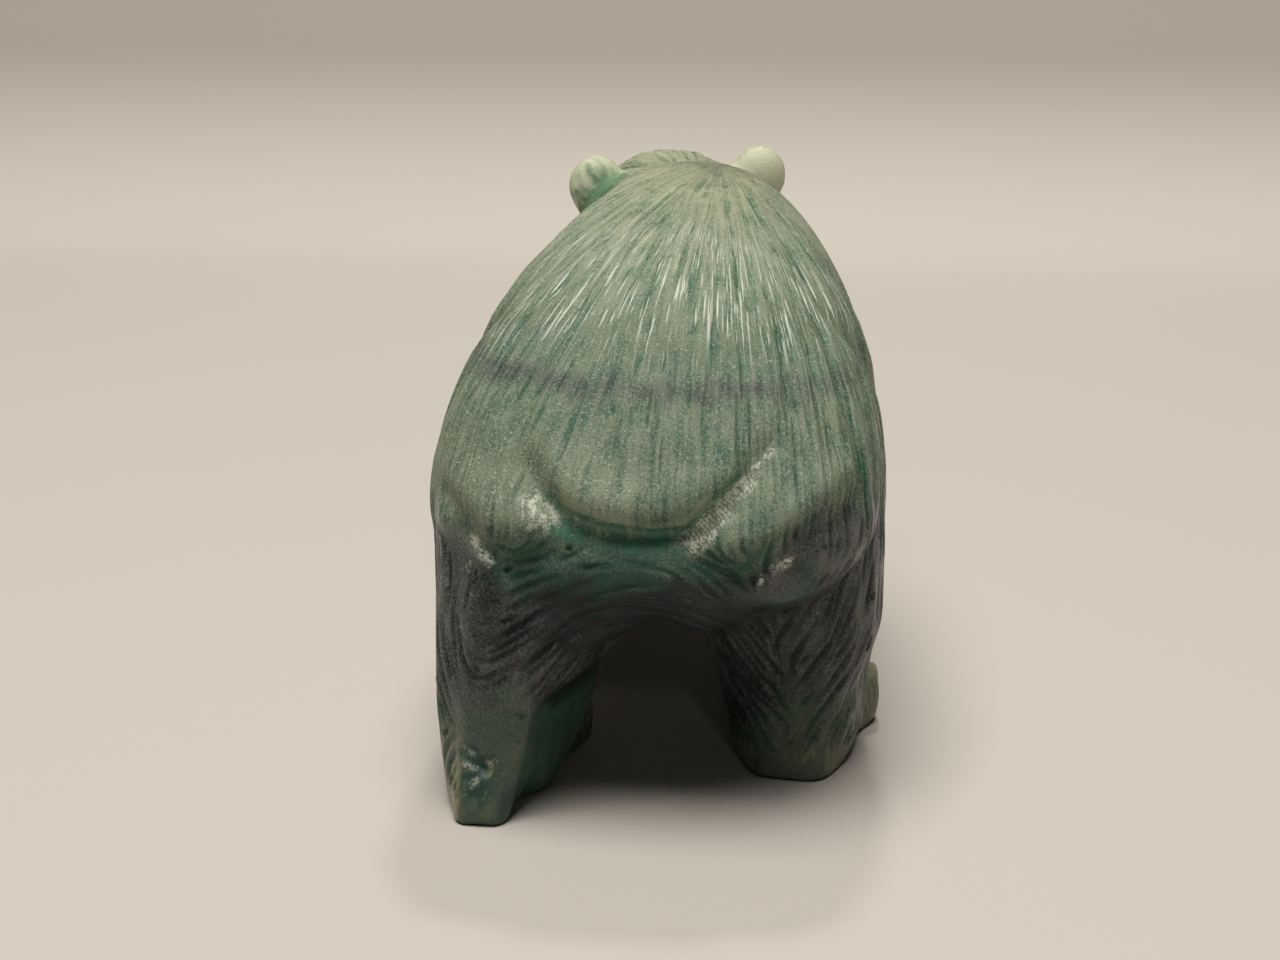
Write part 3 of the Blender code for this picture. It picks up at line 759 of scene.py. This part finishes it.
def frost_light_and_shade(points, normals):
    """How white the skin is: ground most on top, least under the tail, with painted light on the outer sides
    and lobes and painted shade below.
    """
    x, y, z = points.T
    left = np.sign(x)
    up = ramp(z, 20.0, 40.0)
    # Painted light: the outer sides and the buttock lobes are paler, partly ground white and partly painted
    # light that falls more on the left.
    outer = np.clip(left * normals[:, 0], 0.0, 1.0) * ramp(np.abs(x), 9.0, 13.0)
    frost = 0.42 + 0.3 * up + (0.28 + 0.13 * left) * outer * (1.0 - 0.6 * up)
    lobes = ramp(normals[:, 1], 0.3, 0.6) * bell((z - 28.0) / 5.0)
    right_foot = (1.0 - ramp(z, 3.0, 9.0)) * ramp(-x, 7.0, 10.0)
    frost += (0.16 + 0.13 * left) * lobes + 0.3 * right_foot

    under_tail = ramp(y, 30.0, 34.0) * bell((z - 18.8) / 6.5) * bell((x - 1.5) / 13.0)
    # Painted shade: darker at the rear edge of the arch, low on the right shank that faces the arch, and on
    # skin that faces down.
    arch_edge_shade = ramp(y, 28.0, 32.0) * bell((z - 18.0) / 3.0) * bell((x + 0.5) / 6.0)
    shaded = shaded_right_shank(points) * (1.0 - ramp(z, 8.0, 15.0))
    facing_down_shade = ramp(-normals[:, 2], 0.2, 0.8)
    return frost - 0.72 * under_tail - 0.4 * arch_edge_shade - 0.3 * shaded - 0.4 * facing_down_shade


# The axis of the arch between the hind legs, as (x, z). Fine scratches run in rings round it.
ARCH_AXIS = (0.2, 10.6)
ARCH_RINGS_END = (9.0, 13.0)
# Painted white highlights on either side of the tail, then small painted glints on the buttocks and the left
# heel, as lines of (x, z) with their reach. Paler edges follow: of the ground left heel, and the thin one of
# the tail.
PAINTED_GLINT_LINES = [
    ([(-4.6, 24.3), (-5.1, 24.8), (-5.9, 25.8)], 1.25),
    ([(-5.9, 25.8), (-6.6, 26.7), (-7.6, 27.9)], 0.85),
    ([(-7.6, 27.9), (-8.9, 29.5), (-9.7, 30.5)], 0.5),
    ([(7.0, 25.8), (8.1, 26.3)], 1.15),
    ([(-10.2, 22.0), (-11.2, 22.3)], 0.5),
    ([(-9.3, 20.9), (-9.5, 21.2)], 0.4),
    ([(12.9, 23.2), (12.2, 22.4), (11.8, 21.8)], 0.6),
    ([(13.4, 21.0), (13.4, 20.7)], 0.35),
    ([(14.1, 6.5), (13.3, 5.9)], 0.4),
    ([(13.6, 4.9), (12.9, 4.8)], 0.35),
    ([(11.8, 5.1), (11.4, 5.5)], 0.4),
    ([(13.2, 3.5), (12.7, 3.8)], 0.35),
]
PALE_EDGES = [
    ([(9.2, 12.6), (8.9, 11.0), (8.4, 9.3), (8.9, 7.0), (9.8, 4.8), (11.6, 1.4)], 0.8),
    ([(5.1, 27.1), (2.3, 26.0), (-1.0, 25.5), (-3.6, 25.8), (-5.2, 27.4)], 0.5),
]
# The left ear is green where it grows from the head, in stripes that run out from its root.
EAR_ROOT = (9.9, -16.3, 42.9)
EAR_GREEN = (2.2, 4.2)


def round_arch(points):
    """One round the arch, where the scratches run in rings."""
    from_axis = np.hypot(points[:, 0] - ARCH_AXIS[0], points[:, 2] - ARCH_AXIS[1])
    return 1.0 - ramp(from_axis, *ARCH_RINGS_END)


def green_ear(points):
    """One at the root of the left ear, ending in ragged stripes."""
    out = points - EAR_ROOT
    reach = np.linalg.norm(out, axis=1)
    stripes = wander(out / (reach[:, None] + 0.1), 3.8)
    return 1.0 - ramp(reach + 0.9 * stripes, *EAR_GREEN)


points = points_of(bear.data)
normals = normals_of(bear.data)
behind = combed(points, normals)[1]
on_ear = 1.0 - ramp(np.linalg.norm(head_places(points) - EAR_AT, axis=1), 3.2, 4.2)
keep_value("purple", purple_layer(points))
# Thin stone, the ears and the proud toe are painted paler, as light that comes through them.
thin = np.maximum(1.0 - ramp(thickness(points, normals), 3.0, 14.0), 0.8 * on_ear)
keep_value("thin", np.maximum(thin, 0.9 * ramp(at_the_toe(points), 0.05, 0.4)))
keep_value("frost", frost_light_and_shade(points, normals))
keep_value("worn", touched(points, normals, WORN_LINES))
keep_value("clear", clear(points, normals))
# The painted highlights and glints.
keep_value("rim", touched(points, normals, PAINTED_GLINT_LINES))
keep_value("edge", touched(points, normals, PALE_EDGES))
keep_value("swirl", np.maximum(behind, on_ear))
keep_value("ringed", behind * round_arch(points))
keep_value("ear_root", green_ear(points))
keep_value("eye", 1.0 - ramp(np.linalg.norm(head_places(points) - EYE_AT, axis=1), 0.7, 0.95))

# The stone's material is mixed from nodes. These few words make the nodes and join them.
stone.use_nodes = True
mix = stone.node_tree


def add(kind, **settings):
    node = mix.nodes.new(kind)
    for name, value in settings.items():
        setattr(node, name, value)
    return node


def put(value, socket):
    if isinstance(value, bpy.types.NodeSocket):
        mix.links.new(value, socket)
    else:
        socket.default_value = value


def attribute(name):
    return add("ShaderNodeAttribute", attribute_name=name).outputs["Fac"]


def sums(operation, *terms, clamp=False):
    node = add("ShaderNodeMath", operation=operation, use_clamp=clamp)
    for i, term in enumerate(terms):
        put(term, node.inputs[i])
    return node.outputs[0]


def times(*terms, clamp=False):
    return sums("MULTIPLY", *terms, clamp=clamp)


def vectors(operation, *terms):
    node = add("ShaderNodeVectorMath", operation=operation)
    for socket, term in zip(node.inputs, terms):
        put(term, socket)
    return node.outputs


def scaled(vector, scale):
    outputs = vectors("SCALE", vector)
    put(scale, outputs[0].node.inputs["Scale"])
    return outputs[0]


def together(**parts):
    """A vector from its parts along X, Y and Z."""
    node = add("ShaderNodeCombineXYZ")
    for name, value in parts.items():
        put(value, node.inputs[name])
    return node.outputs[0]


def weighed(*pairs):
    """The sum of values, each times its weight, kept between nothing and one at the end."""
    total = 0.0
    for value, weight in pairs:
        total = sums("MULTIPLY_ADD", value, weight, total)
    return sums("ADD", total, 0.0, clamp=True)


def blend(share, a, b):
    node = add("ShaderNodeMix", data_type="RGBA")
    put(share, node.inputs["Factor"])
    put(a, node.inputs[6])
    put(b, node.inputs[7])
    return node.outputs[2]


def cloud(places, scale, detail=2.0, rough=0.5):
    """A noise, finer as the scale grows, from nothing to one."""
    node = add("ShaderNodeTexNoise")
    put(places, node.inputs["Vector"])
    node.inputs["Scale"].default_value = scale
    node.inputs["Detail"].default_value = detail
    node.inputs["Roughness"].default_value = rough
    return node.outputs[0]


def drift_of(*settings):
    """The same noise, from minus a half to a half."""
    return sums("SUBTRACT", cloud(*settings), 0.5)


def sharpened(value, start, end):
    """Nothing at start, one at end, and smooth between them."""
    node = add("ShaderNodeMapRange", interpolation_type="SMOOTHSTEP")
    put(value, node.inputs["Value"])
    node.inputs["From Min"].default_value = start
    node.inputs["From Max"].default_value = end
    return node.outputs[0]


def stops(value, rows):
    node = add("ShaderNodeValToRGB")
    put(value, node.inputs[0])
    row = node.color_ramp.elements
    while len(row) < len(rows):
        row.new(0.5)
    for element, (at, colour) in zip(row, rows):
        element.position = at
        element.color = (*colour, 1.0)
    return node.outputs[0]


place = scaled(add("ShaderNodeTexCoord").outputs["Object"], 1 / MM)
apart = add("ShaderNodeSeparateXYZ")
put(place, apart.inputs[0])
leftward, back, height = apart.outputs

# Fine scratches run out from the whorl like the fur, and in rings round the arch. They are noises on places
# drawn out along the scratches: each pair is how fast the places change across a scratch and along it.
WHORL_HEIGHT = 46.0
FAN = (26.0, 0.06)
RINGS = (1.0, 0.7)

out = vectors("SUBTRACT", place, (*WHORL, WHORL_HEIGHT))[0]
from_whorl = vectors("LENGTH", out)["Value"]


def fan_places():
    leaning = times(sharpened(leftward, *LEAN_LEFTWARD), sharpened(leftward, *LEAN_ENDS[::-1]))
    low_behind = times(sharpened(back, *LEAN_BACKWARD), sharpened(height, *LEAN_HEIGHTS[::-1]))
    spread = sums("MULTIPLY_ADD", times(leaning, low_behind), -LEAN, 1.0)
    beside = times(sums("SUBTRACT", leftward, WHORL[0]), spread)
    flat = together(X=beside, Y=sums("SUBTRACT", back, WHORL[1]))
    across = scaled(vectors("NORMALIZE", flat)[0], FAN[0])
    return vectors("ADD", across, together(Z=times(from_whorl, FAN[1])))[0]


def ring_places():
    from_arch = vectors("SUBTRACT", place, (ARCH_AXIS[0], 0.0, ARCH_AXIS[1]))[0]
    from_arch = vectors("MULTIPLY", from_arch, (RINGS[0], 0.0, RINGS[0]))[0]
    turned = vectors("MULTIPLY", vectors("NORMALIZE", from_arch)[0], (0.0, 0.0, RINGS[1]))[0]
    return vectors("ADD", together(X=vectors("LENGTH", from_arch)["Value"]), turned)[0]


fan = fan_places()
rings = ring_places()
ringed_share = attribute("ringed")
fanned = sums("SUBTRACT", 1.0, attribute("swirl"))


def scratch(*settings):
    """Scratches of one width, from minus a half to a half, and nothing where the fur swirls."""
    on_fan = times(drift_of(fan, *settings), fanned)
    return sums("MULTIPLY_ADD", drift_of(rings, *settings), ringed_share, on_fan)


wide_scratch = scratch(1.2, 3.0, 0.55)
fine_scratch = scratch(4.5, 2.0, 0.6)

# The grain of the ground skin, from broad patches to grit, and the level that the colours go by, from the
# soles (0) to just above the ears (1). Behind the withers, where the lamp ahead glances off the back, the
# skin is glassy between long white scratches, and their white is partly a painted highlight.
ABOVE_EARS = 50.0
GLARE_FROM_WHORL = (14.0, 24.0)
GLARE_TO = (34.0, 46.0)
patchy = drift_of(place, 0.45, 3.0)
coarse = drift_of(place, 1.6, 3.0, 0.6)
grit = drift_of(place, 5.0, 3.0, 0.7)
level = sums("MULTIPLY_ADD", drift_of(place, 0.25, 4.0), 0.07, sums("DIVIDE", height, ABOVE_EARS))
glare_zone = times(sharpened(from_whorl, *GLARE_FROM_WHORL), sharpened(from_whorl, *GLARE_TO[::-1]))
glare_zone = times(glare_zone, times(sharpened(back, 4.0, 14.0), sharpened(height, 34.5, 38.5)))

# Colours of the stone by level: clear stone, frosted stone, clear stone with light coming through, and thin
# stone, painted paler as light that comes through it. Then the other colours, one for each place or band that
# has its own.
DEEP_STONE = [
    (0.00, (0.020, 0.070, 0.042)),
    (0.20, (0.016, 0.065, 0.040)),
    (0.42, (0.011, 0.066, 0.039)),
    (0.52, (0.020, 0.090, 0.050)),
    (0.75, (0.036, 0.120, 0.066)),
    (0.95, (0.085, 0.185, 0.100)),
]
FROSTED_STONE = [
    (0.00, (0.12, 0.135, 0.085)),
    (0.20, (0.082, 0.105, 0.068)),
    (0.38, (0.062, 0.112, 0.076)),
    (0.50, (0.24, 0.285, 0.19)),
    (0.75, (0.182, 0.226, 0.142)),
    (0.84, (0.32, 0.36, 0.24)),
    (0.90, (0.40, 0.43, 0.29)),
    (0.95, (0.58, 0.58, 0.38)),
]
LIT_STONE = [
    (0.05, (0.060, 0.135, 0.080)),
    (0.24, (0.026, 0.092, 0.058)),
    (0.45, (0.048, 0.182, 0.102)),
]
THIN_STONE = [
    (0.0, (0.42, 0.385, 0.22)),
    (0.3, (0.22, 0.24, 0.13)),
    (0.84, (0.76, 0.77, 0.55)),
]
DEEP_PURPLE = (0.007, 0.006, 0.009, 1.0)
FROSTED_PURPLE = (0.104, 0.108, 0.097, 1.0)
VEIN_TEAL = (0.014, 0.052, 0.038, 1.0)
CHIPPED_TEAL = (0.020, 0.056, 0.048, 1.0)
EAR_ROOT_GREEN = (0.05, 0.18, 0.075, 1.0)
EYE_BLACK = (0.010, 0.022, 0.014, 1.0)
DUST_AND_GLINT_WHITE = (0.74, 0.76, 0.64, 1.0)

cut = attribute("cut")
worn = attribute("worn")
cleared = attribute("clear")
rim = attribute("rim")
frost_with_light_shade = attribute("frost")
eye = attribute("eye")


def uneven_purple():
    """The share of purple, broken up by scratches and grain where there is any."""
    purple = attribute("purple")
    uneven = sums("MULTIPLY_ADD", wide_scratch, 1.2, sums("MULTIPLY_ADD", fine_scratch, 1.2, coarse))
    return sums("MULTIPLY_ADD", times(uneven, purple), 1.6, purple, clamp=True)


def window_share():
    """Clear stone shows emerald where light comes through. Under the tail, frosted bridges break it."""
    bridges = sums("MAXIMUM", sharpened(cloud(place, 0.7, 1.0), 0.62, 0.50), 0.5)
    window = times(cleared, sums("MAXIMUM", bridges, sharpened(level, 0.40, 0.34)))
    window = times(window, sums("SUBTRACT", 1.0, rim))
    matt = sums("MULTIPLY_ADD", coarse, 1.0, sums("MULTIPLY_ADD", patchy, 1.6, 0.85))
    return times(window, matt, clamp=True)


purple = uneven_purple()
window = window_share()


def frost_share():
    """How white the skin is: its grinding with the painted light and shade of the frost value, less the cuts
    and the clear places, with scratches and grain, and paler where glints are painted.
    """
    return weighed(
        (frost_with_light_shade, 1.0),
        (cut, -0.9),
        (attribute("tone"), 0.14),
        (wide_scratch, 0.7),
        (times(wide_scratch, glare_zone), 1.4),
        (fine_scratch, 1.5),
        (grit, 2.3),
        (coarse, 0.8),
        (patchy, 0.9),
        (worn, -0.2),
        (window, -0.8),
        (rim, 0.5),
        (attribute("edge"), 0.45),
        (1.0, 0.06),
    )


def deep_colour():
    """Clear stone: green, emerald with dark veins in the windows, dark teal in the chips, then purple."""
    deep = blend(window, stops(level, DEEP_STONE), stops(level, LIT_STONE))
    veins = cloud(vectors("MULTIPLY", place, (1.0, 1.0, 0.3))[0], 0.9, 3.0)
    veins = times(times(window, sharpened(veins, 0.42, 0.62)), 0.4)
    deep = blend(veins, deep, VEIN_TEAL)
    chipped = times(times(cleared, worn), sharpened(height, 9.0, 7.0))
    deep = blend(chipped, deep, CHIPPED_TEAL)
    return blend(purple, deep, DEEP_PURPLE)


def painted_glint_teeth():
    """Painted glints on the glint lines: in teeth across the long highlight beside the tail, in grains
    elsewhere, less low down.
    """
    along_rim = vectors("DOT_PRODUCT", place, (-0.75, 0.0, 0.66))["Value"]
    glint_teeth = sums("SINE", sums("MULTIPLY_ADD", along_rim, 21.0, times(coarse, 13.0)))
    toothed = times(sharpened(leftward, 0.0, -2.0), sharpened(height, 22.8, 23.6))
    toothed = times(toothed, sharpened(height, 30.0, 27.0))
    grains = times(sums("ADD", coarse, grit), 3.5)
    glint_teeth = sums("MULTIPLY_ADD", times(glint_teeth, toothed), 0.35, grains)
    glint_teeth = times(sharpened(glint_teeth, -0.4, 0.45), rim)
    return times(glint_teeth, sums("MULTIPLY_ADD", sharpened(height, 8.0, 15.0), 0.5, 0.5))


glint_teeth = painted_glint_teeth()


def dust_and_glints():
    """White in the long scratches behind the withers, partly dust and partly painted highlight; painted
    glints on the glint lines; and specks all over, partly white grit and partly painted glints.
    """
    glare_scratches = vectors("MULTIPLY", fan, (1.0, 1.0, 0.4))[0]
    glare_scratches = sharpened(cloud(glare_scratches, 8.5, 2.0, 0.5), 0.58, 0.63)
    glare_scratches = times(glare_scratches, times(glare_zone, fanned))
    specks_and_glints = sharpened(cloud(place, 5.5, 2.0, 0.6), 0.58, 0.66)
    specks_and_glints = times(specks_and_glints, sums("MULTIPLY_ADD", purple, -0.2, 0.5))
    specks_and_glints = times(specks_and_glints, sharpened(frost_with_light_shade, 0.2, 0.9))
    specks_and_glints = times(specks_and_glints, sums("MULTIPLY_ADD", sharpened(height, 5.0, 13.0), 0.7, 0.3))
    return sums("MAXIMUM", sums("MAXIMUM", specks_and_glints, glare_scratches), glint_teeth)


def stone_colour():
    frosted = blend(times(purple, 0.9), stops(level, FROSTED_STONE), FROSTED_PURPLE)
    colour = blend(frost_share(), deep_colour(), frosted)
    lit_through = times(attribute("thin"), sums("MULTIPLY_ADD", cleared, -0.7, 0.7))
    colour = blend(lit_through, colour, stops(level, THIN_STONE))
    # White dust, painted highlights and painted glints.
    colour = blend(times(dust_and_glints(), 0.85), colour, DUST_AND_GLINT_WHITE)
    colour = blend(times(attribute("ear_root"), 0.85), colour, EAR_ROOT_GREEN)
    return blend(eye, colour, EYE_BLACK)


# Ground fluorite is matt, and wet where it is clear or worn and where glints are painted. Light goes a little
# way in.
# Scratches, grit and the teeth of the painted glints stand up from the skin by parts of a millimetre.
MATT_ROUGHNESS = 0.23
WET_SMOOTHS = 0.11
FLUORITE_IOR = 1.434
GLOW = 0.12
GLOW_COLOURS = (0.8, 1.0, 0.7)
GLOW_REACH = 0.6
GRAIN_HEIGHT = 0.24

shader = mix.nodes["Principled BSDF"]
put(stone_colour(), shader.inputs["Base Color"])
wet = weighed((worn, 0.8), (cleared, 0.8), (rim, 1.0), (eye, 1.0))
put(sums("MULTIPLY_ADD", wet, -WET_SMOOTHS, MATT_ROUGHNESS), shader.inputs["Roughness"])
shader.inputs["IOR"].default_value = FLUORITE_IOR
shader.inputs["Subsurface Weight"].default_value = GLOW
shader.inputs["Subsurface Radius"].default_value = GLOW_COLOURS
shader.inputs["Subsurface Scale"].default_value = GLOW_REACH * MM

relief = sums("MULTIPLY_ADD", fine_scratch, 0.9, times(cloud(place, 5.0, 4.0, 0.7), 0.55))
relief = sums("MULTIPLY_ADD", wide_scratch, 1.3, relief)
relief = sums("MULTIPLY_ADD", glint_teeth, 0.3, relief)
grain = add("ShaderNodeBump")
grain.inputs["Distance"].default_value = GRAIN_HEIGHT * MM
put(sums("MULTIPLY_ADD", sums("MAXIMUM", cleared, worn), -0.45, 1.0), grain.inputs["Strength"])
put(relief, grain.inputs["Height"])
put(grain.outputs[0], shader.inputs["Normal"])

bear.data.transform(Matrix.Scale(MM, 4))
bear.data.shade_smooth()
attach(bear, "root")
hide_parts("bear")

# ---------------------------------------------------------------- the table and its sweep
# A sheet of warm pale paper. It lies flat under the bear, which faces away from the camera, and bends up into
# a wall beyond its head.
SWEEP_HALF_WIDTH = 1.2
SWEEP_FRONT = 0.9
SWEEP_BEND_AT = -0.25
SWEEP_BEND = 0.045
SWEEP_BEND_STEPS = 24
SWEEP_TOP = 0.085
PAPER = (0.55, 0.50, 0.443, 1.0)
PAPER_ROUGHNESS = 0.75


def sweep():
    profile = [(SWEEP_FRONT, 0.0), (SWEEP_BEND_AT, 0.0)]
    for i in range(1, SWEEP_BEND_STEPS + 1):
        angle = math.radians(90 * i / SWEEP_BEND_STEPS)
        profile.append((SWEEP_BEND_AT - SWEEP_BEND * math.sin(angle), SWEEP_BEND * (1 - math.cos(angle))))
    profile.append((profile[-1][0], SWEEP_TOP))
    sheet = bmesh.new()
    rows = [[sheet.verts.new((side * SWEEP_HALF_WIDTH, y, z)) for side in (1, -1)] for y, z in profile]
    for a, b in zip(rows, rows[1:]):
        sheet.faces.new((a[0], a[1], b[1], b[0]))
    mesh = bpy.data.meshes.new("paper_sweep")
    sheet.to_mesh(mesh)
    sheet.free()
    mesh.shade_smooth()
    paper = bpy.data.materials.new("pale_paper")
    paper.use_nodes = True
    shader = paper.node_tree.nodes["Principled BSDF"]
    shader.inputs["Base Color"].default_value = PAPER
    shader.inputs["Roughness"].default_value = PAPER_ROUGHNESS
    mesh.materials.append(paper)
    floor = bpy.data.objects.new("paper_sweep", mesh)
    bpy.context.scene.collection.objects.link(floor)
    return floor


sweep()

# ---------------------------------------------------------------- light and camera
# A soft lamp overhead, a small one ahead of the bear that glances off its back, a smaller one behind it that
# glints on the wet edges of the rump, and a dim room.
LAMP_COLOUR = (1.0, 0.985, 0.955)
ROOM_COLOUR = (1.0, 0.985, 0.96, 1.0)
ROOM_STRENGTH = 0.015


def lamp(name, size, watts, place, aim):
    light = bpy.data.lights.new(name, "AREA")
    light.size = size
    light.energy = watts
    light.color = LAMP_COLOUR
    made = bpy.data.objects.new(name, light)
    made.location = place
    made.rotation_mode = "QUATERNION"
    made.rotation_quaternion = (Vector(aim) - Vector(place)).to_track_quat("-Z", "Y")
    bpy.context.scene.collection.objects.link(made)


lamp("overhead", size=0.58, watts=11.9, place=(0.055, 0.23, 1.0), aim=(0.0, 0.0, 0.02))
lamp("ahead", size=0.06, watts=0.9, place=(0.0, -0.29, 0.6), aim=(0.0, 0.0, 0.04))
lamp("behind", size=0.02, watts=0.06, place=(-0.11, 0.46, 0.26), aim=(0.0, 0.03, 0.025))

room = bpy.data.worlds.new("room")
room.use_nodes = True
room.node_tree.nodes["Background"].inputs["Color"].default_value = ROOM_COLOUR
room.node_tree.nodes["Background"].inputs["Strength"].default_value = ROOM_STRENGTH
bpy.context.scene.world = room
bpy.context.scene.view_settings.view_transform = "Standard"

# The camera stands behind and above the hind feet, a little to the bear's right, and looks down on the rump.
LENS_MM = 55
SENSOR_MM = 36
CLIP_START = 0.001
PITCH_DEG = 15.0
YAW_DEG = 7.0
BEHIND = 0.1425
UP = 0.0665
FOOT = Vector((0.0, 0.036, 0.0))


def camera():
    yaw, pitch = math.radians(YAW_DEG), math.radians(PITCH_DEG)
    level = Vector((math.sin(yaw), -math.cos(yaw), 0.0))
    data = bpy.data.cameras.new("camera")
    data.lens = LENS_MM
    data.sensor_width = SENSOR_MM
    data.clip_start = CLIP_START
    made = bpy.data.objects.new("camera", data)
    made.location = FOOT - level * BEHIND + Vector((0, 0, UP))
    made.rotation_mode = "QUATERNION"
    aim = level * math.cos(pitch) - Vector((0, 0, math.sin(pitch)))
    made.rotation_quaternion = aim.to_track_quat("-Z", "Y")
    bpy.context.scene.collection.objects.link(made)
    bpy.context.scene.camera = made


camera()
